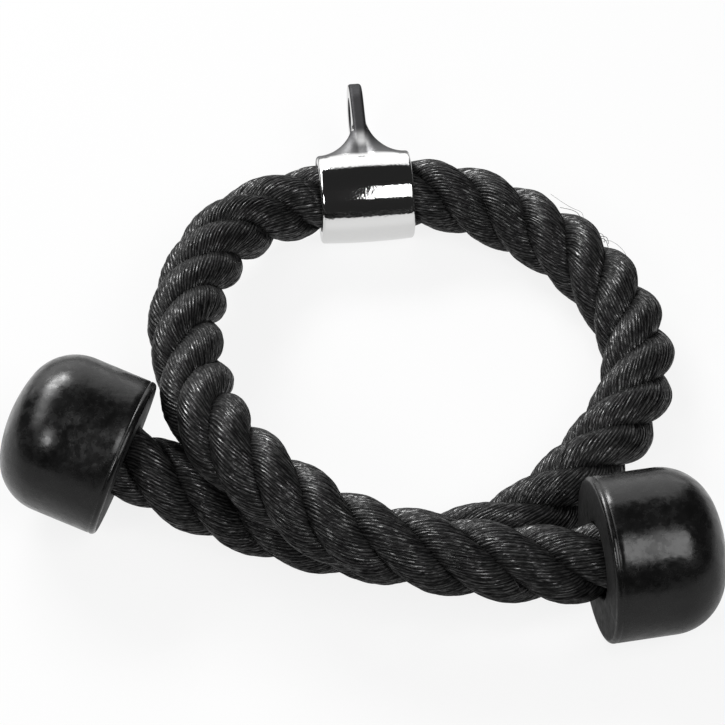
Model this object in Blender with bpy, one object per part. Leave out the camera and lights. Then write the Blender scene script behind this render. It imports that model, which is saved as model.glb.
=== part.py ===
"""Triceps rope attachment, lying on the floor with its two legs crossed.

A thick three-strand rope runs through a chromed cast collar whose flared eye takes a cable machine's
snap hook. Each end of the rope carries a steel band, and a rubber stop is moulded over it to hold the
hand. Metres, +Z up; the origin is under the middle of the rigid pieces, on the floor.
"""

import math

import bmesh
import bpy
import numpy as np
from mathutils import Matrix, Vector

# Fits between pieces that touch on the real product.
SEAT_GAP = 0.0003
COLLAR_FIT = 0.0004

# Where the stops and the collar sit on the rope.
RIGHT_FACE = (0.0937, -0.1199, 0.0330)
LEFT_FACE = (-0.0932, -0.0665, 0.0318)
COLLAR_CENTRE = (0.0032, 0.0983, 0.0200)
RIGHT_STOP_BEARING = math.radians(10.5)
LEFT_STOP_BEARING = math.radians(163.5)
LEFT_STOP_TILT = math.radians(15.7)
COLLAR_BEARING = math.radians(5.5)

# Rope: one length, from the right stop round the front, up the left side, through the collar and back.
ROPE_RADIUS = 0.015
ROPE_POINT_SPACING = 0.015
ROPE_END_DEPTH = 0.034  # of each end inside its stop
ROPE_ROUTE = (
    RIGHT_FACE,
    (0.0819, -0.1221, 0.0332),
    (0.0640, -0.1230, 0.0349),
    (0.0440, -0.1220, 0.0367),
    (0.0185, -0.1185, 0.0394),
    (-0.0065, -0.1115, 0.0423),
    (-0.0275, -0.0985, 0.0470),
    (-0.0455, -0.0830, 0.0505),
    (-0.0582, -0.0633, 0.0500),
    (-0.0649, -0.0413, 0.0440),
    (-0.0670, -0.0279, 0.0406),
    (-0.0703, -0.0132, 0.0391),
    (-0.0718, 0.0040, 0.0379),
    (-0.0695, 0.0277, 0.0333),
    (-0.0606, 0.0593, 0.0281),
    (-0.0445, 0.0826, 0.0230),
    (-0.0186, 0.0959, 0.0201),
    (-0.0057, 0.0976, 0.0200),
    COLLAR_CENTRE,
    (0.0122, 0.0992, 0.0200),
    (0.0251, 0.1004, 0.0200),
    (0.0498, 0.0967, 0.0185),
    (0.0734, 0.0853, 0.0155),
    (0.0939, 0.0672, 0.0152),
    (0.1090, 0.0434, 0.0152),
    (0.1178, 0.0151, 0.0155),
    (0.1156, -0.0161, 0.0155),
    (0.1020, -0.0445, 0.0155),
    (0.0827, -0.0713, 0.0155),
    (0.0603, -0.0905, 0.0152),
    (0.0330, -0.0987, 0.0152),
    (0.0040, -0.0965, 0.0152),
    (-0.0241, -0.0893, 0.0155),
    (-0.0502, -0.0796, 0.0168),
    (-0.0709, -0.0743, 0.0235),
    (-0.0824, -0.0704, 0.0285),
    LEFT_FACE,
)

# Collar: a crowned barrel on the rope, cast with the eye above it.
BARREL_LENGTH = 0.041
BARREL_WALL = 0.0046  # at the crown, round the bore
BARREL_CROWN_DROP = 0.0013  # from the middle of the barrel to its ends
BARREL_EDGE_ROUND = 0.0014
BORE_MOUTH_ROUND = 0.0014
EYE_LEAN = math.radians(76)  # back from upright
EYE_DISTANCE = 0.043  # from the barrel's axis to the middle of the hole
EYE_HOLE_RADIUS = 0.008
EYE_WIDTH = 0.029
EYE_THICKNESS = 0.006
EYE_RIM_ROUND = 0.0014
EYE_LIP_ROUND = 0.001
FLARE_HEIGHT = 0.015  # over the barrel, where the plate has thinned to its own thickness
FLARE_INSET = 0.0015  # of the flare's foot from the barrel's end
FLARE_SINK = 0.00015  # of the flare's foot under the barrel's skin
EYE_ROOT_COVER = 0.003  # of the eye's buried root under the barrel's crown

# End stops, moulded over the steel bands.
STOP_RADIUS = 0.033
STOP_DEPTH = 0.050
STOP_SHOULDER_RADIUS = 0.0215
STOP_CROWN_RADIUS = 0.060
STOP_RIM_ROUND = 0.0018
STOP_MOUTH_ROUND = 0.001
PARTING_GROOVE_AT = 0.0027  # from the stop's face
PARTING_GROOVE_WIDTH = 0.0008
PARTING_GROOVE_DEPTH = 0.0004

# Steel bands pressed on the ends of the rope.
BAND_LENGTH = 0.016
BAND_WALL = 0.0022
BAND_END_MARGIN = 0.001  # from the band to the rope's end
BAND_EDGE_ROUND = 0.0005

# How finely the shapes are drawn.
ROPE_END_SHARES = (1, 0.5)  # of the way into a stop, where the rope's line has a point
ROUND_STEPS = 48
EDGE_STEPS = 3
ROPE_BEVEL_RESOLUTION = 4
CURVE_SAMPLES = 4000
BARREL_CROWN_STEPS = 10
STOP_CROWN_STEPS = 4
STOP_SHOULDER_STEPS = 8
EYE_STEPS_ROUND = 15  # in each quarter round the hole
EYE_FACE_STEPS = 9  # from the hole's lip to the rim
FLARE_SETTLING_PASSES = 8
WELD_DISTANCE = 0.000001
SHARP_ANGLE = math.radians(40)


def clear_scene():
    """Removes every object that the new file holds."""
    for item in list(bpy.data.objects):
        bpy.data.objects.remove(item, do_unlink=True)


def material(name, colour, roughness, metallic):
    made = bpy.data.materials.new(name)
    made.use_nodes = True
    shader = made.node_tree.nodes["Principled BSDF"]
    shader.inputs["Base Color"].default_value = (*colour, 1)
    shader.inputs["Roughness"].default_value = roughness
    shader.inputs["Metallic"].default_value = metallic
    return made


def arc(centre, radius, start_degrees, end_degrees, steps):
    """Points of a circular arc in a profile's plane (distance from the axis, place along it)."""
    angles = np.radians(np.linspace(start_degrees, end_degrees, steps + 1))
    return [(centre[0] + radius * math.cos(a), centre[1] + radius * math.sin(a)) for a in angles]


def finish_mesh(name, bm, look):
    """Links the mesh as an object: doubles merged, faces outward, smooth up to its sharp edges."""
    bmesh.ops.remove_doubles(bm, verts=bm.verts, dist=WELD_DISTANCE)
    bmesh.ops.recalc_face_normals(bm, faces=bm.faces)
    mesh = bpy.data.meshes.new(name)
    bm.to_mesh(mesh)
    bm.free()
    mesh.shade_smooth()
    mesh.set_sharp_from_angle(angle=SHARP_ANGLE)
    mesh.materials.append(look)
    made = bpy.data.objects.new(name, mesh)
    bpy.context.collection.objects.link(made)
    return made


def turned(name, profile, look, closed):
    """A solid of revolution about Z.

    An open profile starts and ends on the axis; a closed one makes a ring.
    """
    bm = bmesh.new()
    points = [bm.verts.new((r, 0, z)) for r, z in profile]
    lines = [bm.edges.new(pair) for pair in zip(points, points[1:])]
    if closed:
        lines.append(bm.edges.new((points[-1], points[0])))
    bmesh.ops.spin(
        bm,
        geom=points + lines,
        axis=(0, 0, 1),
        cent=(0, 0, 0),
        angle=math.tau,
        steps=ROUND_STEPS,
        use_merge=True,
    )
    return finish_mesh(name, bm, look)


def smooth_curve(route, spacing):
    """Evenly spaced points of the natural cubic spline through the route's points, by chord length."""
    p = np.asarray(route, float)
    t = np.concatenate([[0], np.cumsum(np.linalg.norm(np.diff(p, axis=0), axis=1))])
    h = np.diff(t)
    system = np.eye(len(p))
    right = np.zeros_like(p)
    for i in range(1, len(p) - 1):
        system[i, i - 1 : i + 2] = h[i - 1], 2 * (h[i - 1] + h[i]), h[i]
        right[i] = 6 * ((p[i + 1] - p[i]) / h[i] - (p[i] - p[i - 1]) / h[i - 1])
    bend = np.linalg.solve(system, right)

    def at(x):
        i = np.clip(np.searchsorted(t, x, side="right") - 1, 0, len(h) - 1)
        a = (t[i + 1] - x)[:, None]
        b = (x - t[i])[:, None]
        step = h[i][:, None]
        cubic = (bend[i] * a**3 + bend[i + 1] * b**3) / (6 * step)
        before = (p[i] / step - bend[i] * step / 6) * a
        after = (p[i + 1] / step - bend[i + 1] * step / 6) * b
        return cubic + before + after

    fine = np.linspace(0, t[-1], CURVE_SAMPLES)
    dense = at(fine)
    run = np.concatenate([[0], np.cumsum(np.linalg.norm(np.diff(dense, axis=0), axis=1))])
    count = round(run[-1] / spacing) + 1
    return at(np.interp(np.linspace(0, run[-1], count), run, fine)), run[-1]


def outward_axis(bearing, tilt):
    """The direction in which a stop points away from the rope."""
    level = math.cos(tilt)
    return Vector((level * math.cos(bearing), level * math.sin(bearing), math.sin(tilt)))


def inside_stop(face, axis):
    """The points of the rope's line inside a stop, from its end outwards."""
    return [tuple(Vector(face) + axis * ROPE_END_DEPTH * share) for share in ROPE_END_SHARES]


def make_rope(right_axis, left_axis, look):
    """The rope as a tube along its route, with flat ends that run straight into the stops."""
    route = [*inside_stop(RIGHT_FACE, right_axis), *ROPE_ROUTE, *inside_stop(LEFT_FACE, left_axis)[::-1]]
    points, length = smooth_curve(route, ROPE_POINT_SPACING)
    print(f"rope length {length:.3f}")
    curve = bpy.data.curves.new("rope", "CURVE")
    curve.dimensions = "3D"
    curve.bevel_depth = ROPE_RADIUS
    curve.bevel_resolution = ROPE_BEVEL_RESOLUTION
    curve.use_fill_caps = True
    line = curve.splines.new("POLY")
    line.points.add(len(points) - 1)
    line.points.foreach_set("co", np.column_stack([points, np.ones(len(points))]).ravel())
    line.use_smooth = True
    curve.materials.append(look)
    rope = bpy.data.objects.new("rope", curve)
    bpy.context.collection.objects.link(rope)
    return rope


def crown_radius(along):
    """The barrel's outside radius at a distance from its middle."""
    share = np.asarray(along) / (BARREL_LENGTH / 2)
    return ROPE_RADIUS + COLLAR_FIT + BARREL_WALL - BARREL_CROWN_DROP * share**2


def barrel_profile():
    """Closed profile of the barrel: crowned outside, rounded ends, and a bore with bell mouths."""
    half = BARREL_LENGTH / 2
    bore = ROPE_RADIUS + COLLAR_FIT
    edge = half - BARREL_EDGE_ROUND
    outside = [(float(crown_radius(z)), z) for z in np.linspace(edge, -edge, BARREL_CROWN_STEPS + 1)]
    end_radius = float(crown_radius(edge)) - BARREL_EDGE_ROUND
    mouth = bore + BORE_MOUTH_ROUND
    flat = half - BORE_MOUTH_ROUND
    profile = arc((mouth, flat), BORE_MOUTH_ROUND, 180, 90, EDGE_STEPS)
    profile += arc((end_radius, edge), BARREL_EDGE_ROUND, 90, 0, EDGE_STEPS)[:-1]
    profile += outside
    profile += arc((end_radius, -edge), BARREL_EDGE_ROUND, 0, -90, EDGE_STEPS)[1:]
    profile += arc((mouth, -flat), BORE_MOUTH_ROUND, 270, 180, EDGE_STEPS)
    return profile


def flare_half_thickness(from_axis):
    """Half the casting's thickness along the barrel, at a distance from the barrel's axis.

    It is a quarter ellipse that leaves the barrel's skin near its ends and thins to the eye plate.
    """
    plate = EYE_THICKNESS / 2
    foot = BARREL_LENGTH / 2 - FLARE_INSET
    width = foot - plate
    half = np.full_like(from_axis, plate)
    for _ in range(FLARE_SETTLING_PASSES):
        over = from_axis - (crown_radius(half) - FLARE_SINK)
        share = 1 - np.clip(over / FLARE_HEIGHT, 0, 1)
        half = plate + width * (1 - np.sqrt(1 - share**2))
    return half


def eye_root():
    """Half axes of the ellipse on which the eye's root ends inside the barrel's wall: across and up."""
    return float(crown_radius(BARREL_LENGTH / 2 - FLARE_INSET)), float(crown_radius(0)) - EYE_ROOT_COVER


def eye_reach(angle):
    """How far the eye runs from the middle of its hole, in a direction measured from straight up.

    The top is round, the sides run straight down, and the root ends on an ellipse inside the barrel's
    wall. An eye wider than that ellipse would end level with the barrel's axis beside it.
    """
    half_width = EYE_WIDTH / 2
    side = abs(math.sin(angle))
    down = -math.cos(angle)
    if down <= 0:
        return half_width
    to_side = half_width / max(side, math.ulp(1))
    across, up = eye_root()
    square = (side / across) ** 2 + (down / up) ** 2
    linear = EYE_DISTANCE * down / up**2
    gap = linear**2 - square * ((EYE_DISTANCE / up) ** 2 - 1)
    to_root = (linear - math.sqrt(gap)) / square if gap > 0 else EYE_DISTANCE / down
    return min(to_side, to_root)


def eye_angles():
    """Directions round the hole, with one at each corner of the buried root."""
    half_width = EYE_WIDTH / 2
    across, up = eye_root()
    corner_up = up * math.sqrt(max(0, 1 - (half_width / across) ** 2))
    corner = math.pi - math.atan2(half_width, EYE_DISTANCE - corner_up)
    upper = np.linspace(0, math.pi / 2, EYE_STEPS_ROUND, endpoint=False)
    side = np.linspace(math.pi / 2, corner, EYE_STEPS_ROUND, endpoint=False)
    under = np.linspace(corner, math.pi, EYE_STEPS_ROUND // 2, endpoint=False)
    half = np.concatenate([upper, side, under])
    return np.concatenate([half, [math.pi], math.tau - half[:0:-1]])


def eye_section(angle):
    """The section of the eye in one direction from its hole.

    It is a closed loop of (out from the hole, thickness).
    """
    reach = eye_reach(angle)
    lip = EYE_HOLE_RADIUS + EYE_LIP_ROUND
    shoulder = reach - EYE_RIM_ROUND
    out = np.linspace(lip, shoulder, EYE_FACE_STEPS)
    across = out * math.sin(angle)
    up = EYE_DISTANCE + out * math.cos(angle)
    thick = flare_half_thickness(np.hypot(across, up))
    turns = np.radians(np.linspace(0, 90, EDGE_STEPS + 1))
    rim_out = reach - EYE_RIM_ROUND + EYE_RIM_ROUND * np.sin(turns[1:])
    rim_thick = thick[-1] - EYE_RIM_ROUND + EYE_RIM_ROUND * np.cos(turns[1:])
    lip_out = lip - EYE_LIP_ROUND * np.sin(turns[:0:-1])
    lip_thick = thick[0] - EYE_LIP_ROUND + EYE_LIP_ROUND * np.cos(turns[:0:-1])
    face_out = np.concatenate([lip_out, out, rim_out])
    face_thick = np.concatenate([lip_thick, thick, rim_thick])
    face = np.column_stack([face_out, face_thick])
    return np.vstack([face, face[::-1] * (1, -1)])


def make_eye(look):
    """The eye, its flared neck and its buried root, as one ring of sections round the hole."""
    bm = bmesh.new()
    rings = []
    for angle in eye_angles():
        section = eye_section(angle)
        across = section[:, 0] * math.sin(angle)
        up = EYE_DISTANCE + section[:, 0] * math.cos(angle)
        rings.append([bm.verts.new(point) for point in zip(section[:, 1], across, up)])
    for ring, following in zip(rings, rings[1:] + rings[:1]):
        for i in range(len(ring)):
            j = (i + 1) % len(ring)
            bm.faces.new((ring[i], following[i], following[j], ring[j]))
    return finish_mesh("eye_casting", bm, look)


def make_collar(look):
    """Barrel and eye in one casting.

    Its origin is in the middle of the bore, X along the bore, Z towards the eye.
    """
    barrel = turned("eye_collar", barrel_profile(), look, closed=True)
    barrel.data.transform(Matrix.Rotation(math.pi / 2, 4, "Y"))
    eye = make_eye(look)
    eye.hide_render = True
    eye.display_type = "WIRE"
    join = barrel.modifiers.new("cast_eye", "BOOLEAN")
    join.operation = "UNION"
    join.solver = "EXACT"
    join.object = eye
    along = Vector((math.cos(COLLAR_BEARING), math.sin(COLLAR_BEARING), 0))
    back = Vector((-along.y, along.x, 0))
    towards_eye = back * math.sin(EYE_LEAN) + Vector((0, 0, 1)) * math.cos(EYE_LEAN)
    pose = Matrix((along, towards_eye.cross(along), towards_eye)).transposed().to_4x4()
    pose.translation = COLLAR_CENTRE
    barrel.matrix_world = pose
    eye.matrix_world = pose
    return barrel


def stop_profile():
    """Half section of an end stop, from the crown on its axis round to the floor of its pocket on the axis.

    The place along the axis starts at the face that the rope enters.
    """
    crown_centre = STOP_DEPTH - STOP_CROWN_RADIUS
    shoulder_out = STOP_RADIUS - STOP_SHOULDER_RADIUS
    reach = STOP_CROWN_RADIUS - STOP_SHOULDER_RADIUS
    shoulder_at = crown_centre + math.sqrt(reach**2 - shoulder_out**2)
    meeting = 90 - math.degrees(math.asin(shoulder_out / reach))
    crown = arc((0, crown_centre), STOP_CROWN_RADIUS, 90, meeting, STOP_CROWN_STEPS)
    shoulder = arc((shoulder_out, shoulder_at), STOP_SHOULDER_RADIUS, meeting, 0, STOP_SHOULDER_STEPS)
    groove_far = PARTING_GROOVE_AT + PARTING_GROOVE_WIDTH / 2
    groove_near = PARTING_GROOVE_AT - PARTING_GROOVE_WIDTH / 2
    groove = [
        (STOP_RADIUS, groove_far),
        (STOP_RADIUS - PARTING_GROOVE_DEPTH, PARTING_GROOVE_AT),
        (STOP_RADIUS, groove_near),
    ]
    rim = arc((STOP_RADIUS - STOP_RIM_ROUND, STOP_RIM_ROUND), STOP_RIM_ROUND, 0, -90, EDGE_STEPS)
    bore = ROPE_RADIUS + SEAT_GAP
    mouth = arc((bore + STOP_MOUTH_ROUND, STOP_MOUTH_ROUND), STOP_MOUTH_ROUND, 270, 180, EDGE_STEPS)
    pocket = bore + BAND_WALL + SEAT_GAP
    band_from = ROPE_END_DEPTH - BAND_END_MARGIN - BAND_LENGTH - SEAT_GAP
    floor = ROPE_END_DEPTH + SEAT_GAP
    inside = [(bore, band_from), (pocket, band_from), (pocket, floor), (0, floor)]
    return [(0, STOP_DEPTH)] + crown[1:] + shoulder[1:] + groove + rim + mouth + inside


def band_profile():
    """Closed profile of a steel band round the rope, its edges broken."""
    inner = ROPE_RADIUS + SEAT_GAP
    outer = inner + BAND_WALL
    far = ROPE_END_DEPTH - BAND_END_MARGIN
    near = far - BAND_LENGTH
    edge = BAND_EDGE_ROUND
    return [
        (inner, near),
        (outer - edge, near),
        (outer, near + edge),
        (outer, far - edge),
        (outer - edge, far),
        (inner, far),
    ]


def make_rope_end(side, face, outward, rubber, steel):
    """One end of the rope: the steel band, and the stop moulded over it."""
    seat = bpy.data.objects.new(f"{side}_rope_end", None)
    bpy.context.collection.objects.link(seat)
    seat.location = face
    seat.rotation_mode = "QUATERNION"
    seat.rotation_quaternion = outward.to_track_quat("Z", "Y")
    stop = turned(f"{side}_end_stop", stop_profile(), rubber, closed=False)
    band = turned(f"{side}_rope_ferrule", band_profile(), steel, closed=True)
    stop.parent = seat
    band.parent = seat


clear_scene()
right_stop_axis = outward_axis(RIGHT_STOP_BEARING, 0)
left_stop_axis = outward_axis(LEFT_STOP_BEARING, LEFT_STOP_TILT)
make_rope(right_stop_axis, left_stop_axis, material("black_rope", (0.018, 0.018, 0.019), 0.6, 0))
make_collar(material("chrome", (0.75, 0.76, 0.77), 0.08, 1))
black_rubber = material("black_rubber", (0.028, 0.028, 0.03), 0.42, 0)
band_steel = material("band_steel", (0.52, 0.52, 0.53), 0.35, 1)
make_rope_end("right", RIGHT_FACE, right_stop_axis, black_rubber, band_steel)
make_rope_end("left", LEFT_FACE, left_stop_axis, black_rubber, band_steel)
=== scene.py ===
import math

import bmesh
import bpy
import numpy as np
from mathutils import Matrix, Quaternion, Vector


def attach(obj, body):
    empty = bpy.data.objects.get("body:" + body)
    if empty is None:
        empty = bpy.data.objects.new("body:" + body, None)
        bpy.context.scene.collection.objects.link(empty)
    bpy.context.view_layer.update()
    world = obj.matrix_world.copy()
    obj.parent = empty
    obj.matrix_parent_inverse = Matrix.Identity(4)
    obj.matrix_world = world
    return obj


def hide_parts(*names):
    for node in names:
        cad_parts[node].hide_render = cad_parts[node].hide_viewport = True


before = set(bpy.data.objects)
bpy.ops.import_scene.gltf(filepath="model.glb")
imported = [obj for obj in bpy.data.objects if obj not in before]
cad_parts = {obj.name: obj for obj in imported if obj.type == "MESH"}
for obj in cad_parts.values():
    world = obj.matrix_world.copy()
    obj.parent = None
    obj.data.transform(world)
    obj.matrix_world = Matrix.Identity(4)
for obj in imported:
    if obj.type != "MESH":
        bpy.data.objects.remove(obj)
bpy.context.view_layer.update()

# Camera: a long lens that looks down on the floor at 47 degrees from straight in front, so that the rope
# lies as an open loop with the collar at the back.
CAMERA_TARGET = Vector((0.0021, -0.0020, 0.0200))
CAMERA_DISTANCE = 1.27
CAMERA_ELEVATION = math.radians(47)
CAMERA_FOCAL = 150
CAMERA_SENSOR = 36
CAMERA_REACH = 50

to_camera = Vector((0, -math.cos(CAMERA_ELEVATION), math.sin(CAMERA_ELEVATION)))
camera_data = bpy.data.cameras.new("camera")
camera_data.lens = CAMERA_FOCAL
camera_data.sensor_width = CAMERA_SENSOR
camera_data.clip_end = CAMERA_REACH
camera = bpy.data.objects.new("camera", camera_data)
camera.location = CAMERA_TARGET + to_camera * CAMERA_DISTANCE
camera.rotation_mode = "QUATERNION"
camera.rotation_quaternion = to_camera.to_track_quat("Z", "Y")
bpy.context.scene.collection.objects.link(camera)
bpy.context.scene.camera = camera

# Rope: three thick strands of black filament yarn, laid up to the right. The yarns of a strand are twisted
# the other way, so that on the outside they run along the rope. One length goes from the right stop through
# the collar to the left stop, and here and there a filament has come out of it.
RIGHT_FACE = (0.0937, -0.1199, 0.0330)
RIGHT_BEARING = math.radians(10.5)
RIGHT_AXIS = Vector((math.cos(RIGHT_BEARING), math.sin(RIGHT_BEARING), 0))
LEFT_FACE = (-0.0932, -0.0665, 0.0318)
LEFT_TILT = math.radians(15.7)
LEFT_BEARING = math.radians(163.5)
LEFT_AXIS = Vector(
    (
        math.cos(LEFT_TILT) * math.cos(LEFT_BEARING),
        math.cos(LEFT_TILT) * math.sin(LEFT_BEARING),
        math.sin(LEFT_TILT),
    )
)
ROPE_END_DEPTH = 0.034
ROPE_ROUTE = (
    RIGHT_FACE,
    (0.0819, -0.1221, 0.0332),
    (0.0640, -0.1230, 0.0349),
    (0.0440, -0.1220, 0.0367),
    (0.0185, -0.1185, 0.0394),
    (-0.0065, -0.1115, 0.0423),
    (-0.0275, -0.0985, 0.0470),
    (-0.0455, -0.0830, 0.0505),
    (-0.0582, -0.0633, 0.0500),
    (-0.0649, -0.0413, 0.0440),
    (-0.0670, -0.0279, 0.0406),
    (-0.0703, -0.0132, 0.0391),
    (-0.0718, 0.0040, 0.0379),
    (-0.0695, 0.0277, 0.0333),
    (-0.0606, 0.0593, 0.0281),
    (-0.0445, 0.0826, 0.0230),
    (-0.0186, 0.0959, 0.0201),
    (-0.0057, 0.0976, 0.0200),
    (0.0032, 0.0983, 0.0200),
    (0.0122, 0.0992, 0.0200),
    (0.0251, 0.1004, 0.0200),
    (0.0498, 0.0967, 0.0185),
    (0.0734, 0.0853, 0.0155),
    (0.0939, 0.0672, 0.0152),
    (0.1090, 0.0434, 0.0152),
    (0.1178, 0.0151, 0.0155),
    (0.1156, -0.0161, 0.0155),
    (0.1020, -0.0445, 0.0155),
    (0.0827, -0.0713, 0.0155),
    (0.0603, -0.0905, 0.0152),
    (0.0330, -0.0987, 0.0152),
    (0.0040, -0.0965, 0.0152),
    (-0.0241, -0.0893, 0.0155),
    (-0.0502, -0.0796, 0.0168),
    (-0.0709, -0.0743, 0.0235),
    (-0.0824, -0.0704, 0.0285),
    LEFT_FACE,
)
STRAND_COUNT = 3
LAY_LENGTH = 0.0764  # of rope for one turn of a strand
STRAND_START = math.radians(4)
LAY_DRIFT = (  # a place along the rope, and by how many degrees the strands there run ahead of an even lay
    (0.05, -6),
    (0.11, -4),
    (0.15, 7),
    (0.20, 19),
    (0.25, 1),
    (0.30, -9),
    (0.36, -28),
    (0.41, -22),
    (0.46, -7),
    (0.505, 9),
    (0.56, -3),
    (0.60, 13),
    (0.64, 16),
    (0.70, 4),
    (0.78, -8),
    (0.85, -8),
)
DRIFT_BLEND = 0.016
DRIFT_REACH = np.linspace(-2, 2, 9)  # places under a bell curve, in blends
STRAND_RADIUS = 0.0083
STRAND_OFFSET = 0.0075
HELD_SHRINK = 0.0007  # of the rope's radius where the collar or a stop holds it
HELD_STRETCHES = ((0.0, 0.033), (0.3985, 0.4395), (0.866, 0.9))  # from and to, along the rope
HELD_BLEND = 0.006
YARNS_ROUND_STRAND = 32
YARN_COLUMNS = 3
YARN_GROOVE = 0.00062
YARN_FULLNESS = 0.7  # power of the sine across a yarn: less than 1 is fuller than round
YARN_WANDER_SHARE = 0.32  # of a yarn's width, to either side
YARN_SWELL = 0.0002
STRAND_SWELL = 0.00015
WANDER_WAVES = (0.031, 0.047, 0.013)  # wavelengths along the rope
YARN_SWELL_WAVES = (0.022, 0.009, 0.037)
STRAND_SWELL_WAVES = (0.061, 0.027, 0.107)
WANDER_SEED = 10
YARN_SWELL_SEED = 20
STRAND_SWELL_SEED = 30
ROPE_RINGS = 980
PATH_POINTS = 200
CURVE_STEPS = 8000  # short straight steps that a curve is measured by
POLE_MERGE = 0.0000002  # a ring's points nearer to each other than this are one
FLOOR_FLAT = 0.0002  # height of the flat that the floor presses on the strands
FILAMENT_RINGS = 60
FILAMENT_SIDES = 6
OFF_FILAMENTS = (0.3, 0.4, 1)  # a direction that no loose filament runs along
LOOSE_FILAMENTS = (  # each one's radius, then its points from the end inside the rope
    (0.00007, (0.0985, 0.0800, 0.0180), (0.0985, 0.0868, 0.0215), (0.0954, 0.0864, 0.0240),
        (0.0899, 0.0899, 0.0250), (0.0852, 0.0960, 0.0240)),
    (0.00011, (0.0970, 0.0780, 0.0180), (0.0965, 0.0860, 0.0222), (0.0930, 0.0868, 0.0235),
        (0.0891, 0.0895, 0.0220)),
    (0.00007, (0.1000, 0.0640, 0.0190), (0.1065, 0.0668, 0.0230), (0.1102, 0.0632, 0.0270),
        (0.1140, 0.0602, 0.0260), (0.1168, 0.0575, 0.0220), (0.1140, 0.0520, 0.0180)),
    (0.00013, (0.1000, 0.0640, 0.0180), (0.1055, 0.0708, 0.0225), (0.1083, 0.0704, 0.0225),
        (0.1093, 0.0672, 0.0215)),
    (0.00013, (0.1000, 0.0650, 0.0170), (0.1048, 0.0715, 0.0205), (0.1080, 0.0690, 0.0220),
        (0.1092, 0.0665, 0.0200)),
    (0.00010, (0.1000, 0.0660, 0.0200), (0.1035, 0.0718, 0.0235), (0.1066, 0.0712, 0.0235),
        (0.1075, 0.0680, 0.0215)),
    (0.00012, (0.0605, -0.1300, 0.0390), (0.0612, -0.1366, 0.0398), (0.0655, -0.1387, 0.0362),
        (0.0668, -0.1370, 0.0392)),
    (0.00012, (0.0615, -0.1310, 0.0370), (0.0625, -0.1380, 0.0383), (0.0645, -0.1392, 0.0360),
        (0.0662, -0.1384, 0.0375)),
)
# The dark colour serves both darker yarns at random and painted shade in the grooves.
DARK_YARN_AND_GROOVE_SHADE = (0.002, 0.002, 0.0022)
YARN_BLACK = (0.034, 0.034, 0.0337)
FILAMENT_GRAIN = (560, 1900, 1)  # along and across a strand, each metre
PATCH_GRAIN = (190, 520, 1)
YARN_RELIEF = 0.0004


def smooth_curve(route, count):
    """Evenly spaced points of the natural cubic spline through the route's points, by chord length, and the
    spline's length. Between two points its bend runs straight from the one's to the other's. The bends are
    those that give the spline one slope at each point, and there is none at the ends."""
    points = np.asarray(route, float)
    places = np.concatenate([[0], np.cumsum(np.linalg.norm(np.diff(points, axis=0), axis=1))])
    gaps = np.diff(places)
    system = np.eye(len(points))
    right = np.zeros_like(points)
    for i in range(1, len(points) - 1):
        before = gaps[i - 1]
        after = gaps[i]
        system[i, i - 1 : i + 2] = before, 2 * (before + after), after
        right[i] = 6 * ((points[i + 1] - points[i]) / after - (points[i] - points[i - 1]) / before)
    bend = np.linalg.solve(system, right)

    def at(place):
        i = np.clip(np.searchsorted(places, place, side="right") - 1, 0, len(gaps) - 1)
        ahead = (places[i + 1] - place)[:, None]
        behind = (place - places[i])[:, None]
        gap = gaps[i][:, None]
        cubic = (bend[i] * ahead**3 + bend[i + 1] * behind**3) / (6 * gap)
        from_first = (points[i] / gap - bend[i] * gap / 6) * ahead
        from_second = (points[i + 1] / gap - bend[i + 1] * gap / 6) * behind
        return cubic + from_first + from_second

    dense_places = np.linspace(0, places[-1], CURVE_STEPS)
    dense = at(dense_places)
    run = np.concatenate([[0], np.cumsum(np.linalg.norm(np.diff(dense, axis=0), axis=1))])
    return at(np.interp(np.linspace(0, run[-1], count), run, dense_places)), run[-1]


def unit(vectors):
    """The same vectors with length one."""
    return vectors / np.linalg.norm(vectors, axis=-1, keepdims=True)


def waves(along, seed, wavelengths, phases_across=1):
    """Smooth random numbers along a line: for each wavelength a sine with its own random phase, their sum
    divided by the root of their number. phases_across gives as many independent columns."""
    random = np.random.default_rng(seed)
    phase = random.uniform(0, math.tau, (len(wavelengths), 1, phases_across))
    turns = np.asarray(along)[None, :, None] / np.asarray(wavelengths)[:, None, None]
    return np.sin(math.tau * turns + phase).sum(axis=0) / math.sqrt(len(wavelengths))


def piece_from_grid(name, points, look, sizes=(1, 1), marks=None):
    """A closed piece from rings of points. Each ring joins the next and closes on itself, and the first and
    last rings are single points. The UV map runs along the rings' order and round them, sizes long, and
    marks are named numbers for each point, which the material reads."""
    rings, columns = points.shape[:2]
    index = np.arange(rings * columns).reshape(rings, columns)
    around = np.roll(index, -1, axis=1)
    quads = np.stack([index[:-1], around[:-1], around[1:], index[1:]], axis=-1).reshape(-1, 4)
    mesh = bpy.data.meshes.new(name)
    mesh.from_pydata(points.reshape(-1, 3), [], quads)
    along, across = np.meshgrid(np.linspace(0, 1, rings), np.arange(columns + 1) / columns, indexing="ij")
    place = np.stack([along * sizes[0], across * sizes[1]], axis=-1)
    corners = np.stack([place[:-1, :-1], place[:-1, 1:], place[1:, 1:], place[1:, :-1]], axis=2)
    mesh.uv_layers.new(name="along").data.foreach_set("uv", corners.ravel())
    for mark, values in (marks or {}).items():
        mesh.attributes.new(mark, "FLOAT", "POINT").data.foreach_set("value", values.ravel())
    bm = bmesh.new()
    bm.from_mesh(mesh)
    bmesh.ops.remove_doubles(bm, verts=bm.verts, dist=POLE_MERGE)
    bmesh.ops.recalc_face_normals(bm, faces=bm.faces)
    bm.to_mesh(mesh)
    bm.free()
    mesh.shade_smooth()
    mesh.materials.append(look)
    piece = bpy.data.objects.new(name, mesh)
    bpy.context.scene.collection.objects.link(piece)
    return piece


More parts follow.
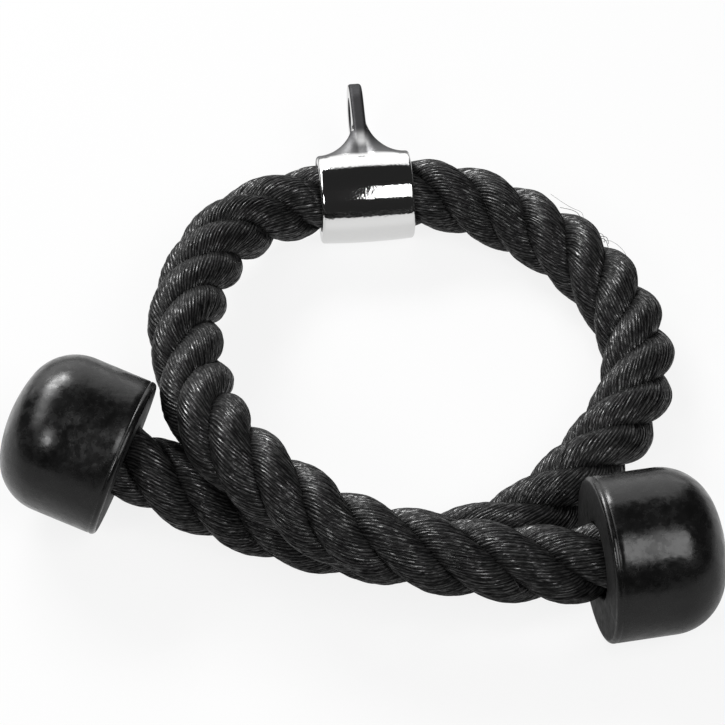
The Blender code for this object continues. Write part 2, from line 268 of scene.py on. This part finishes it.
class Link:
    """An output in a material's node tree. Sums, differences and products with numbers or other outputs add
    Math nodes to the tree."""

    def __init__(self, tree, socket=None):
        self.tree = tree
        self.socket = socket

    def add(self, kind, settings, inputs, output=0):
        """Adds a node, sets its settings, then a value or a link for each input, and returns one output.
        Sockets go by name, or by number where a node gives several of them the same name."""
        node = self.tree.nodes.new(kind)
        for name, value in settings.items():
            setattr(node, name, value)
        for name, value in inputs.items():
            if isinstance(value, Link):
                self.tree.links.new(value.socket, node.inputs[name])
            else:
                node.inputs[name].default_value = value
        return Link(self.tree, node.outputs[output])

    def beside(self, name):
        """Another output of the same node."""
        return Link(self.tree, self.socket.node.outputs[name])

    def math(self, operation, first, second=0.0):
        return self.add("ShaderNodeMath", {"operation": operation}, {0: first, 1: second})

    def __add__(self, other):
        return self.math("ADD", self, other)

    def __radd__(self, other):
        return self.math("ADD", other, self)

    def __sub__(self, other):
        return self.math("SUBTRACT", self, other)

    def __rsub__(self, other):
        return self.math("SUBTRACT", other, self)

    def __mul__(self, other):
        return self.math("MULTIPLY", self, other)

    def __rmul__(self, other):
        return self.math("MULTIPLY", other, self)

    def noise(self, place, scale, detail, roughness):
        """Smooth noise from 0 to 1 at a place."""
        values = {"Vector": place, "Scale": scale, "Detail": detail, "Roughness": roughness}
        return self.add("ShaderNodeTexNoise", {}, values)

    def blend(self, share, first, second):
        """A colour between two colours, which are written out or outputs."""
        first, second = (colour if isinstance(colour, Link) else (*colour, 1) for colour in (first, second))
        return self.add("ShaderNodeMix", {"data_type": "RGBA"}, {0: share, 6: first, 7: second}, output=2)

    def step(self, low, high):
        """0 below low, 1 above high, and smooth between them."""
        values = {"Value": self, "From Min": low, "From Max": high}
        return self.add("ShaderNodeMapRange", {"interpolation_type": "SMOOTHSTEP"}, values)

    def into(self, node, name):
        """Joins this output to an input of a node that the tree has already, such as its shader."""
        self.tree.links.new(self.socket, node.inputs[name])


def new_look(name, **constants):
    """A material, its shader with constants on the shader's own sockets, and a start for its links."""
    look = bpy.data.materials.new(name)
    look.use_nodes = True
    shader = look.node_tree.nodes["Principled BSDF"]
    for socket, value in constants.items():
        shader.inputs[socket.replace("_", " ")].default_value = value
    return look, shader, Link(look.node_tree)


def strand_surface(number, centre, length):
    """Grid of points of one strand, and the marks that its material reads.

    The strand's middle winds round the rope's line at the strand offset, one turn a lay, plus the drift
    there. Round it stands a circle square to the strand, whose columns turn back against the winding so that
    they follow the yarns. Each yarn is a low ridge: a power of the sine of half a turn across it. The mark
    outward is the cosine of the angle from straight out of the rope, and crest is the ridge's height as a
    share of its full height."""
    along = np.linspace(0, length, ROPE_RINGS)
    tangent = unit(np.gradient(centre, along, axis=0))
    level = unit(np.cross((0, 0, 1), tangent))
    upright = np.cross(tangent, level)
    places, degrees = np.array(LAY_DRIFT).T
    bell = np.exp(-(DRIFT_REACH**2))
    ahead = np.interp(along[:, None] + DRIFT_REACH * DRIFT_BLEND, places, np.radians(degrees))
    drift = ahead @ bell / bell.sum()
    turn = STRAND_START + math.tau * (along / LAY_LENGTH + number / STRAND_COUNT) + drift
    held = np.zeros_like(along)
    for start, end in HELD_STRETCHES:
        outside = np.maximum(np.maximum(start - along, along - end), 0)
        held = np.maximum(held, np.exp(-((outside / HELD_BLEND) ** 2)))
    radial = np.cos(turn)[:, None] * level + np.sin(turn)[:, None] * upright
    middle = centre + (STRAND_OFFSET - HELD_SHRINK / 2 * held)[:, None] * radial
    strand_tangent = unit(np.gradient(middle, along, axis=0))
    out = unit(radial - (radial * strand_tangent).sum(axis=1, keepdims=True) * strand_tangent)
    side = np.cross(strand_tangent, out)

    rate = math.tau / LAY_LENGTH
    lean = math.atan(STRAND_OFFSET * rate)
    back_turn = (STRAND_OFFSET + STRAND_RADIUS) * rate / (STRAND_RADIUS * math.cos(lean))
    columns = YARNS_ROUND_STRAND * YARN_COLUMNS
    column = np.arange(columns)
    yarn = column // YARN_COLUMNS
    across_yarn = (column % YARN_COLUMNS) / YARN_COLUMNS
    wander = waves(along, WANDER_SEED + number, WANDER_WAVES, YARNS_ROUND_STRAND)
    yarn_swell = waves(along, YARN_SWELL_SEED + number, YARN_SWELL_WAVES, YARNS_ROUND_STRAND)
    strand_swell = waves(along, STRAND_SWELL_SEED + number, STRAND_SWELL_WAVES)
    wobble = YARN_WANDER_SHARE * wander * math.tau / YARNS_ROUND_STRAND
    edge = (wobble + np.roll(wobble, 1, axis=1)) / 2
    following = np.roll(edge, -1, axis=1)
    shift = edge[:, yarn] * (1 - across_yarn) + following[:, yarn] * across_yarn
    angle = math.tau * column / columns + shift - back_turn * along[:, None]
    ridge = np.sin(math.pi * across_yarn) ** YARN_FULLNESS
    strand_rise = STRAND_SWELL * strand_swell * (1 - held[:, None])
    round_radius = STRAND_RADIUS - HELD_SHRINK / 2 * held[:, None] + strand_rise
    radius = round_radius - YARN_GROOVE * (1 - ridge) + YARN_SWELL * yarn_swell[:, yarn] * ridge
    ring = middle[:, None] + radius[..., None] * (
        np.cos(angle)[..., None] * out[:, None] + np.sin(angle)[..., None] * side[:, None]
    )
    ring[..., 2] = np.maximum(ring[..., 2], FLOOR_FLAT)
    first = np.repeat(middle[:1, None], columns, axis=1)
    last = np.repeat(middle[-1:, None], columns, axis=1)
    marks = {"outward": np.cos(angle), "crest": np.broadcast_to(ridge, angle.shape)}
    for mark, values in marks.items():
        marks[mark] = np.concatenate([values[:1], values, values[-1:]])
    return np.concatenate([first, ring, last]), marks


def filament_tube(name, points, radius, look):
    """A thin tube along the smooth curve through the points: circles square to it, closed to a point at the
    ends. The marks are those of a strand's outermost crest."""
    line, length = smooth_curve(points, FILAMENT_RINGS)
    tangent = unit(np.gradient(line, axis=0))
    level = unit(np.cross(OFF_FILAMENTS, tangent))
    upright = np.cross(tangent, level)
    turn = math.tau * np.arange(FILAMENT_SIDES) / FILAMENT_SIDES
    ring = line[:, None] + radius * (
        np.cos(turn)[:, None] * level[:, None] + np.sin(turn)[:, None] * upright[:, None]
    )
    first = np.repeat(line[:1, None], FILAMENT_SIDES, axis=1)
    last = np.repeat(line[-1:, None], FILAMENT_SIDES, axis=1)
    grid = np.concatenate([first, ring, last])
    full = np.ones(grid.shape[:2])
    return piece_from_grid(name, grid, look, (length, math.tau * radius), {"outward": full, "crest": full})


rope_look, rope_shader, rope_link = new_look(
    "black_rope_yarn", Roughness=0.42, Specular_IOR_Level=0.1, Coat_Roughness=0.25, Coat_IOR=1.8
)
rope_place = rope_link.add("ShaderNodeUVMap", {"uv_map": "along"}, {})
filament_place = rope_link.add("ShaderNodeMapping", {}, {"Vector": rope_place, "Scale": FILAMENT_GRAIN})
filaments = rope_link.noise(filament_place, 1.0, 3.0, 0.65)
patch_place = rope_link.add("ShaderNodeMapping", {}, {"Vector": rope_place, "Scale": PATCH_GRAIN})
patches = rope_link.noise(patch_place, 1.0, 2.0, 0.55)
outward = rope_link.add("ShaderNodeAttribute", {"attribute_name": "outward"}, {}, output="Fac")
open_side = outward.step(-0.3, 0.35)
crest = rope_link.add("ShaderNodeAttribute", {"attribute_name": "crest"}, {}, output="Fac").step(0.15, 0.85)
# Painted shade: the base colour darkens in the grooves between strands and between yarns, over random yarn
# tone.
yarn_tone_and_groove_shade = (0.45 * patches + 0.55 * filaments).step(0.38, 0.62) * open_side * (0.15 + 0.85 * crest)
rope_link.blend(yarn_tone_and_groove_shade, DARK_YARN_AND_GROOVE_SHADE, YARN_BLACK).into(rope_shader, "Base Color")
glints = filaments.step(0.46, 0.62) * (0.3 + 0.7 * patches.step(0.4, 0.6))
(glints * open_side * (0.1 + 0.9 * crest)).into(rope_shader, "Coat Weight")
relief = filaments * 0.7 + patches * 0.3
bump = rope_link.add("ShaderNodeBump", {}, {"Strength": 0.7, "Distance": YARN_RELIEF, "Height": relief})
bump.into(rope_shader, "Normal")

route = [
    tuple(Vector(RIGHT_FACE) + RIGHT_AXIS * ROPE_END_DEPTH),
    tuple(Vector(RIGHT_FACE) + RIGHT_AXIS * ROPE_END_DEPTH / 2),
    *ROPE_ROUTE,
    tuple(Vector(LEFT_FACE) + LEFT_AXIS * ROPE_END_DEPTH / 2),
    tuple(Vector(LEFT_FACE) + LEFT_AXIS * ROPE_END_DEPTH),
]
rope_line, rope_length = smooth_curve(route, ROPE_RINGS)
strand_length = rope_length * math.hypot(1, STRAND_OFFSET * math.tau / LAY_LENGTH)
for number in range(STRAND_COUNT):
    surface, marks = strand_surface(number, rope_line, rope_length)
    strand_sizes = (strand_length, math.tau * STRAND_RADIUS)
    strand = piece_from_grid(f"rope_strand_{number + 1}", surface, rope_look, strand_sizes, marks)
    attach(strand, "root")
    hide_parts("rope")
for number, (radius, *points) in enumerate(LOOSE_FILAMENTS):
    filament = filament_tube(f"loose_filament_{number + 1}", points, radius, rope_look)
    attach(filament, "root")
    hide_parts("rope")
smooth_curve(route, PATH_POINTS)[0]

# Collar: one bright chromed casting, a crowned barrel that is tight on the rope, with a flat eye that grows
# out of it in a trumpet-shaped neck. The barrel and the eye's faces are polished, and the neck and the eye's
# edge are left duller and are darkened with painted shade, with a painted highlight on the middle of the
# neck. Made as the level surface of a distance function.
COLLAR_CENTRE = np.array((0.0032, 0.0983, 0.0200))
COLLAR_BEARING = math.radians(5.5)
EYE_LEAN = math.radians(76)
BARREL_HALF = 0.0205
BARREL_CROWN = 0.0200
BARREL_DROP = 0.0007
BARREL_EDGE = 0.0014
BORE_RADIUS = 0.0154
EYE_DISTANCE = 0.043
EYE_HALF_WIDTH = 0.0145
EYE_HALF_THICKNESS = 0.003
EYE_HOLE = 0.008
RIM_ROUND = 0.0014
LIP_ROUND = 0.001
NECK_ROUND = 0.0155
PLATE_FOOT = 0.002  # above the bore's axis, where the plate ends inside the barrel
SHARPEST_MEETING = 0.95  # most that the cosine between the plate's and the barrel's normals counts for
NEARLY_ZERO = 1e-9
CASTING_VOXEL = 0.00042
CASTING_MERGE = 0.000001  # the solid's points nearer to each other than this are one
CASTING_MOVES = 8
FLATTEST_SLOPE = 0.05  # least square of the slope that a move divides by
POLISHED_TO = 0.0115  # from the bore's axis towards the eye
POLISH_BLEND = 0.002
NECK_TO = 0.0260
FACE_BLEND = (0.00025, 0.00005)  # inside the plate's face, where its polish begins and is full
HIGHLIGHT_SIDES = (0.0003, 0.0045)  # the neck's painted highlight: from its middle, where it is full and where it ends
HIGHLIGHT_FOOT = (0.0160, 0.0205)
HIGHLIGHT_HEAD = (0.0225, 0.0280)
CHROME_TINT = (0.79, 0.79, 0.785)
PAINTED_NECK_SHADE = (0.13, 0.13, 0.132)
PAINTED_HIGHLIGHT_TINT = (0.55, 0.55, 0.55)
PAINTED_DULL_SHADE = (0.045, 0.045, 0.047)
RIPPLE_SCALE = 900.0
RIPPLE_RELIEF = 0.00008

collar_along = np.array((math.cos(COLLAR_BEARING), math.sin(COLLAR_BEARING), 0))
collar_back = np.array((-collar_along[1], collar_along[0], 0))
collar_up = collar_back * math.sin(EYE_LEAN) + np.array((0, 0, math.cos(EYE_LEAN)))
collar_axes = np.stack([collar_along, np.cross(collar_up, collar_along), collar_up])


def rounded_meeting(first, second, radius):
    """Distance to what lies inside both solids, with their shared edge rounded: the larger of the two
    distances, but where both are above minus the radius, the root of the sum of the squares of the two, each
    plus the radius, less the radius."""
    corner = np.hypot(np.maximum(first + radius, 0), np.maximum(second + radius, 0))
    return np.minimum(-radius, np.maximum(first, second)) + corner


def casting_distance(p):
    """Distance to the casting's skin, in its own axes: x along the bore, z towards the eye.

    The barrel is a cylinder whose radius falls with the square of x. The eye is a plate with a round top. A
    ball rolls along between both and leaves the neck: with a and b the ball's radius less the distances to
    them and c the cosine between their normals, the ball's skin is where a² + b² - 2cab = (1 - c²) r²."""
    x, y, z = p.T
    from_axis = np.hypot(y, z)
    barrel = from_axis - (BARREL_CROWN - BARREL_DROP * (x / BARREL_HALF) ** 2)
    above = z > EYE_DISTANCE
    outline = np.where(above, np.hypot(y, z - EYE_DISTANCE), np.abs(y)) - EYE_HALF_WIDTH
    face = np.abs(x) - EYE_HALF_THICKNESS
    plate = rounded_meeting(face, outline, RIM_ROUND)
    plate = np.where(z < PLATE_FOOT, np.hypot(np.maximum(plate, 0), PLATE_FOOT - z), plate)
    reach_x = np.maximum(face + RIM_ROUND, 0)
    reach_y = np.maximum(outline + RIM_ROUND, 0)
    share_y = reach_y / np.maximum(np.hypot(reach_x, reach_y), NEARLY_ZERO)
    between = np.clip(share_y * np.abs(y) / np.maximum(from_axis, NEARLY_ZERO), 0, SHARPEST_MEETING)
    a = NECK_ROUND - plate
    b = NECK_ROUND - barrel
    ball = np.sqrt(np.maximum(a * a + b * b - 2 * between * a * b, 0) / (1 - between**2))
    in_neck = (a > between * b) & (b > between * a) & (a > 0) & (b > 0) & (z > 0)
    skin = np.minimum(plate, barrel)
    skin = np.where(in_neck, np.minimum(skin, NECK_ROUND - ball), skin)
    skin = rounded_meeting(skin, np.abs(x) - BARREL_HALF, BARREL_EDGE)
    skin = rounded_meeting(skin, BORE_RADIUS - from_axis, BARREL_EDGE)
    return rounded_meeting(skin, EYE_HOLE - np.hypot(y, z - EYE_DISTANCE), LIP_ROUND)


def gradient(distance, p, step=0.000002):
    """The distance's slope along each axis, from values on both sides of the points."""
    slopes = [(distance(p + d) - distance(p - d)) / (2 * step) for d in np.eye(3) * step]
    return np.stack(slopes, axis=-1)


def cast_collar():
    """The CAD casting's mesh in its own axes, redrawn in even small squares, and each point moved along the
    slope until it lies on the distance function's skin."""
    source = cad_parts["eye_collar"].data.copy()
    co = np.empty(len(source.vertices) * 3)
    source.vertices.foreach_get("co", co)
    local = (co.reshape(-1, 3) - COLLAR_CENTRE) @ collar_axes.T
    source.vertices.foreach_set("co", local.ravel())
    bm = bmesh.new()
    bm.from_mesh(source)
    bmesh.ops.remove_doubles(bm, verts=bm.verts, dist=CASTING_MERGE)
    bm.to_mesh(source)
    bm.free()
    rough = bpy.data.objects.new("rough_casting", source)
    bpy.context.scene.collection.objects.link(rough)
    remesh = rough.modifiers.new("squares", "REMESH")
    remesh.mode = "VOXEL"
    remesh.voxel_size = CASTING_VOXEL
    shape = bpy.data.meshes.new_from_object(rough.evaluated_get(bpy.context.evaluated_depsgraph_get()))
    bpy.data.objects.remove(rough)
    co = np.empty(len(shape.vertices) * 3)
    shape.vertices.foreach_get("co", co)
    p = co.reshape(-1, 3)
    for _ in range(CASTING_MOVES):
        slope = gradient(casting_distance, p)
        steep = np.maximum((slope**2).sum(axis=1), FLATTEST_SLOPE)
        p = p - (casting_distance(p) / steep)[:, None] * slope
    shape.vertices.foreach_set("co", (p @ collar_axes + COLLAR_CENTRE).ravel())
    shape.shade_smooth()
    return shape


def distance_along(link, place, axis):
    """How far a place on the collar lies along one of the collar's axes from the collar's centre."""
    inputs = {0: place, 1: tuple(float(v) for v in axis)}
    reach = link.add("ShaderNodeVectorMath", {"operation": "DOT_PRODUCT"}, inputs, output="Value")
    return reach - float(COLLAR_CENTRE @ axis)


chrome_look, chrome_shader, chrome_link = new_look("bright_chrome", Metallic=1.0)
chrome_place = chrome_link.add("ShaderNodeTexCoord", {}, {}, output="Object")
ripple = chrome_link.noise(chrome_place, RIPPLE_SCALE, 2.0, 0.5)
from_middle = chrome_link.math("ABSOLUTE", distance_along(chrome_link, chrome_place, collar_along))
height_on_neck = distance_along(chrome_link, chrome_place, collar_up)
face_edge = [EYE_HALF_THICKNESS - inside for inside in FACE_BLEND]
on_plate_face = from_middle.step(*face_edge) * height_on_neck.step(NECK_TO, NECK_TO + POLISH_BLEND)
unpolished = height_on_neck.step(POLISHED_TO, POLISHED_TO + POLISH_BLEND) * (1 - on_plate_face)
dull = height_on_neck.step(POLISHED_TO, NECK_TO) * (1 - on_plate_face)
# Painted highlight: a lighter tint on the middle of the neck's front.
painted_neck_highlight = (1 - from_middle.step(*HIGHLIGHT_SIDES)) * height_on_neck.step(*HIGHLIGHT_FOOT)
painted_neck_highlight = painted_neck_highlight * (1 - height_on_neck.step(*HIGHLIGHT_HEAD))
# Painted shade: the neck is tinted dark, and darker still towards the eye and on the eye's edge, where it is
# dull.
painted_neck_light = chrome_link.blend(painted_neck_highlight, PAINTED_NECK_SHADE, PAINTED_HIGHLIGHT_TINT)
dull_shade_share = dull * (0.9 + 0.1 * ripple) * (1 - 0.8 * painted_neck_highlight)
painted_unpolished_light = chrome_link.blend(dull_shade_share, painted_neck_light, PAINTED_DULL_SHADE)
# The unpolished parts get the painted shade and highlight; their duller finish is in the roughness.
chrome_link.blend(unpolished, CHROME_TINT, painted_unpolished_light).into(chrome_shader, "Base Color")
(0.04 + 0.04 * ripple + unpolished * 0.3 + dull * (0.12 + 0.16 * ripple)).into(chrome_shader, "Roughness")
ripple_inputs = {"Strength": 0.5, "Distance": RIPPLE_RELIEF, "Height": ripple}
chrome_link.add("ShaderNodeBump", {}, ripple_inputs).into(chrome_shader, "Normal")
collar_mesh = cast_collar()
collar_mesh.materials.clear()
collar_mesh.materials.append(chrome_look)
collar = bpy.data.objects.new("chrome_eye_casting", collar_mesh)
bpy.context.scene.collection.objects.link(collar)
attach(collar, "collar")
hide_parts("eye_collar")

# End stops: soft rubber caps with a domed end, moulded over the rope's ends and the bands on them. A thin
# parting groove runs round each near its face. The skin is glossy and a little uneven, and the face is dull.
STOP_RADIUS = 0.033
STOP_DEPTH = 0.050
STOP_SHOULDER = 0.0215
STOP_CROWN = 0.060
STOP_RIM = 0.0018
STOP_MOUTH = 0.001
STOP_BORE = 0.0153
STOP_POCKET = 0.0178
POCKET_FROM = 0.0167
POCKET_FLOOR = 0.0343
GROOVE_AT = 0.0027
GROOVE_HALF_WIDTH = 0.0004
GROOVE_DEPTH = 0.0004
GROOVE_LIP_SHARES = (0.2, 0.7)  # of the groove's depth and half width, at the points beside its bottom
CROWN_STEPS = 16
SHOULDER_STEPS = 36
SIDE_STEPS = 10
RIM_STEPS = 8
FACE_STEPS = 14
MOUTH_STEPS = 5
STOP_COLUMNS = 224
FACE_SHARES = (0.74, 0.78)  # of the half section's points, where the rim turns into the face
BLOTCH_SCALE = 70.0
MOTTLE_SCALE = 240.0
GRAIN_SCALE = 700.0
RUBBER_BLACK = (0.004, 0.004, 0.004)
RUBBER_BLOOM = (0.008, 0.008, 0.008)
RUBBER_RELIEF = 0.0008


def arc(centre, radius, start, end, steps):
    """Points of a circular arc in a half section (distance from the axis, place along it), in degrees."""
    angles = np.radians(np.linspace(start, end, steps + 1))
    return np.column_stack([centre[0] + radius * np.cos(angles), centre[1] + radius * np.sin(angles)])


def straight(start, end, steps):
    """Points of a straight line without its two ends."""
    share = np.linspace(0, 1, steps + 1)[1:-1, None]
    return np.asarray(start) * (1 - share) + np.asarray(end) * share


def stop_section():
    """Half section of a stop: the crown's wide arc, the shoulder's arc, the side with the groove, the rim,
    the face and the pocket back to the axis."""
    crown_centre = STOP_DEPTH - STOP_CROWN
    shoulder_out = STOP_RADIUS - STOP_SHOULDER
    reach = STOP_CROWN - STOP_SHOULDER
    shoulder_at = crown_centre + math.sqrt(reach**2 - shoulder_out**2)
    meeting = 90 - math.degrees(math.asin(shoulder_out / reach))
    side_end = (STOP_RADIUS, GROOVE_AT + GROOVE_HALF_WIDTH)
    lip_depth_share, lip_width_share = GROOVE_LIP_SHARES
    lip_radius = STOP_RADIUS - GROOVE_DEPTH * lip_depth_share
    groove = [
        side_end,
        (lip_radius, GROOVE_AT + GROOVE_HALF_WIDTH * lip_width_share),
        (STOP_RADIUS - GROOVE_DEPTH, GROOVE_AT),
        (lip_radius, GROOVE_AT - GROOVE_HALF_WIDTH * lip_width_share),
        (STOP_RADIUS, GROOVE_AT - GROOVE_HALF_WIDTH),
    ]
    rim = arc((STOP_RADIUS - STOP_RIM, STOP_RIM), STOP_RIM, 0, -90, RIM_STEPS)
    mouth = arc((STOP_BORE + STOP_MOUTH, STOP_MOUTH), STOP_MOUTH, 270, 180, MOUTH_STEPS)
    pocket = [
        (STOP_BORE, POCKET_FROM),
        (STOP_POCKET, POCKET_FROM),
        (STOP_POCKET, POCKET_FLOOR),
        (0, POCKET_FLOOR),
    ]
    parts = [
        arc((0, crown_centre), STOP_CROWN, 90, meeting, CROWN_STEPS),
        arc((shoulder_out, shoulder_at), STOP_SHOULDER, meeting, 0, SHOULDER_STEPS)[1:],
        straight((STOP_RADIUS, shoulder_at), side_end, SIDE_STEPS),
        groove,
        rim,
        straight(rim[-1], mouth[0], FACE_STEPS),
        mouth,
        pocket,
    ]
    return np.concatenate(parts)


def moulded_stop(name, face, axis, look):
    """The half section turned round the stop's axis, which starts at the middle of its face."""
    section = stop_section()
    turn = math.tau * np.arange(STOP_COLUMNS) / STOP_COLUMNS
    axis = np.asarray(axis)
    level = unit(np.cross((0, 0, 1), axis))
    upright = np.cross(axis, level)
    out = np.cos(turn)[:, None] * level + np.sin(turn)[:, None] * upright
    points = np.asarray(face) + section[:, None, :1] * out + section[:, None, 1:] * axis
    return piece_from_grid(name, points, look)


rubber_look, rubber_shader, rubber_link = new_look("black_rubber", Specular_IOR_Level=0.42)
rubber_place = rubber_link.add("ShaderNodeTexCoord", {}, {}, output="Object")
blotches = rubber_link.noise(rubber_place, BLOTCH_SCALE, 3.0, 0.6)
mottle = rubber_link.noise(rubber_place, MOTTLE_SCALE, 4.0, 0.65)
grain = rubber_link.noise(rubber_place, GRAIN_SCALE, 3.0, 0.6)
rubber_shade = rubber_link.blend(blotches.step(0.3, 0.7), RUBBER_BLACK, RUBBER_BLOOM)
rubber_shade.into(rubber_shader, "Base Color")
stop_place = rubber_link.add("ShaderNodeUVMap", {"uv_map": "along"}, {})
along_section = rubber_link.add("ShaderNodeSeparateXYZ", {}, {"Vector": stop_place}, output="X")
on_face = along_section.step(*FACE_SHARES)
skin_roughness = 0.13 + 0.09 * blotches.step(0.35, 0.65) + 0.12 * mottle.step(0.42, 0.62) + 0.05 * grain
(skin_roughness + 0.4 * on_face).into(rubber_shader, "Roughness")
rubber_relief = blotches * 0.8 + mottle * 0.16 + grain * 0.05
relief_inputs = {"Strength": 0.5, "Distance": RUBBER_RELIEF, "Height": rubber_relief}
rubber_link.add("ShaderNodeBump", {}, relief_inputs).into(rubber_shader, "Normal")
for side, face, axis in (("right", RIGHT_FACE, RIGHT_AXIS), ("left", LEFT_FACE, LEFT_AXIS)):
    stop = moulded_stop(f"{side}_rubber_stop", face, axis, rubber_look)
    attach(stop, "root")
    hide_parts(f"{side}_end_stop")

# Rope bands: plain steel rings pressed on the rope's ends, hidden inside the stops. They keep the solids of
# the frame and get the finish of plain rolled steel.
STEEL_DARK = (0.42, 0.42, 0.43)
STEEL_PALE = (0.56, 0.56, 0.57)
SCRATCH_SCALE = 2500.0

band_look, band_shader, band_link = new_look("band_steel", Metallic=1.0)
band_place = band_link.add("ShaderNodeTexCoord", {}, {}, output="Object")
scratches = band_link.noise(band_place, SCRATCH_SCALE, 2.0, 0.6)
band_link.blend(scratches, STEEL_DARK, STEEL_PALE).into(band_shader, "Base Color")
(0.28 + 0.2 * scratches).into(band_shader, "Roughness")
for side in ("left", "right"):
    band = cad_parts[f"{side}_rope_ferrule"]
    for place in band.material_slots:
        place.material = band_look

# Floor and light: a white floor and three soft lamps in a pale studio. What is glossy sees the room dark,
# with a bright wall behind the object, a window on its left, and a floor that is darker in front and behind.
FLOOR_SIZE = 6.0
FLOOR_PAINT = (0.8, 0.8, 0.8, 1)
MIRRORED_FRONT = (-0.15, -0.08)  # places from front to back where the mirrored floor changes its level
MIRRORED_BACK = (0.16, 0.30)
WALL_HEAD = (0.72, 0.80)  # heights in the room are sines of the elevation
WALL_SIDES = ((-0.95, -0.75), (0.40, 0.55))  # bearings from straight behind, to the right, in radians
WALL_LEVEL = 1.25
WINDOW_FOOT = (0.50, 0.62)
WINDOW_HEAD = (0.80, 0.90)
WINDOW_SIDES = ((-2.0, -1.6), (-0.9, -0.7))
WINDOW_LEVEL = 3.4
DARK_LEVEL = 0.02
STUDIO_LEVEL = 0.17

floor_look, floor_shader, floor_link = new_look(
    "white_floor", Base_Color=FLOOR_PAINT, Roughness=0.6, Specular_IOR_Level=0.2
)
camera_ray = floor_link.add("ShaderNodeLightPath", {}, {}, output="Is Camera Ray")
glossy_ray = camera_ray.beside("Is Glossy Ray")
floor_place = floor_link.add("ShaderNodeTexCoord", {}, {}, output="Object")
to_back = floor_link.add("ShaderNodeSeparateXYZ", {}, {"Vector": floor_place}, output="Y")
mirrored = 0.4 + 0.47 * to_back.step(*MIRRORED_FRONT) - 0.8 * to_back.step(*MIRRORED_BACK)
glow_level = camera_ray + glossy_ray * mirrored
glow = floor_link.add("ShaderNodeEmission", {}, {"Color": (1, 1, 1, 1), "Strength": glow_level})
glow_share = camera_ray * 0.85 + glossy_ray * 0.75
painted = Link(floor_look.node_tree, floor_shader.outputs["BSDF"])
mixed = floor_link.add("ShaderNodeMixShader", {}, {0: glow_share, 1: painted, 2: glow})
mixed.into(floor_look.node_tree.nodes["Material Output"], "Surface")
floor_mesh = bpy.data.meshes.new("floor")
half = FLOOR_SIZE / 2
floor_corners = [(-half, -half, 0), (half, -half, 0), (half, half, 0), (-half, half, 0)]
floor_mesh.from_pydata(floor_corners, [], [(0, 1, 2, 3)])
floor_mesh.materials.append(floor_look)
floor = bpy.data.objects.new("floor", floor_mesh)
bpy.context.scene.collection.objects.link(floor)


def softbox(name, azimuth, elevation, distance, width, height, watts, roll=0):
    """An area lamp that faces the object. Azimuth 0 is behind it and 90 to its right, in degrees."""
    bearing = math.radians(azimuth)
    rise = math.radians(elevation)
    level = math.cos(rise)
    direction = Vector((math.sin(bearing) * level, math.cos(bearing) * level, math.sin(rise)))
    lamp = bpy.data.lights.new(name, "AREA")
    lamp.shape = "RECTANGLE"
    lamp.size = width
    lamp.size_y = height
    lamp.energy = watts
    lamp_object = bpy.data.objects.new(name, lamp)
    lamp_object.location = direction * distance
    lamp_object.rotation_mode = "QUATERNION"
    turned = Quaternion((0, 0, 1), math.radians(roll))
    lamp_object.rotation_quaternion = direction.to_track_quat("Z", "Y") @ turned
    bpy.context.scene.collection.objects.link(lamp_object)


softbox("back_light", azimuth=-31, elevation=42, distance=2.0, width=1.1, height=0.55, watts=32)
softbox("right_light", azimuth=140, elevation=51, distance=1.6, width=0.85, height=0.85, watts=10.5, roll=-33)
softbox("left_light", azimuth=-145, elevation=40, distance=1.8, width=0.45, height=0.5, watts=7.5)

world = bpy.data.worlds.new("studio")
bpy.context.scene.world = world
world.use_nodes = True
world_background = world.node_tree.nodes["Background"]
world_background.inputs["Color"].default_value = (1, 1, 1, 1)
world_link = Link(world.node_tree)
seen = world_link.add("ShaderNodeLightPath", {}, {}, output="Is Camera Ray")
glossy = seen.beside("Is Glossy Ray")
direction = world_link.add("ShaderNodeTexCoord", {}, {})
height = world_link.add("ShaderNodeSeparateXYZ", {}, {"Vector": direction}, output="Z")
bearing = world_link.math("ARCTAN2", height.beside("X"), height.beside("Y"))
wall = (1 - height.step(*WALL_HEAD)) * bearing.step(*WALL_SIDES[0]) * (1 - bearing.step(*WALL_SIDES[1]))
window = height.step(*WINDOW_FOOT) * (1 - height.step(*WINDOW_HEAD))
window = window * bearing.step(*WINDOW_SIDES[0]) * (1 - bearing.step(*WINDOW_SIDES[1]))
reflected = DARK_LEVEL + WALL_LEVEL * wall + WINDOW_LEVEL * window
level = glossy * reflected + (1 - glossy) * STUDIO_LEVEL
world_link.math("MAXIMUM", seen, level).into(world_background, "Strength")

bpy.context.scene.view_settings.view_transform = "Standard"
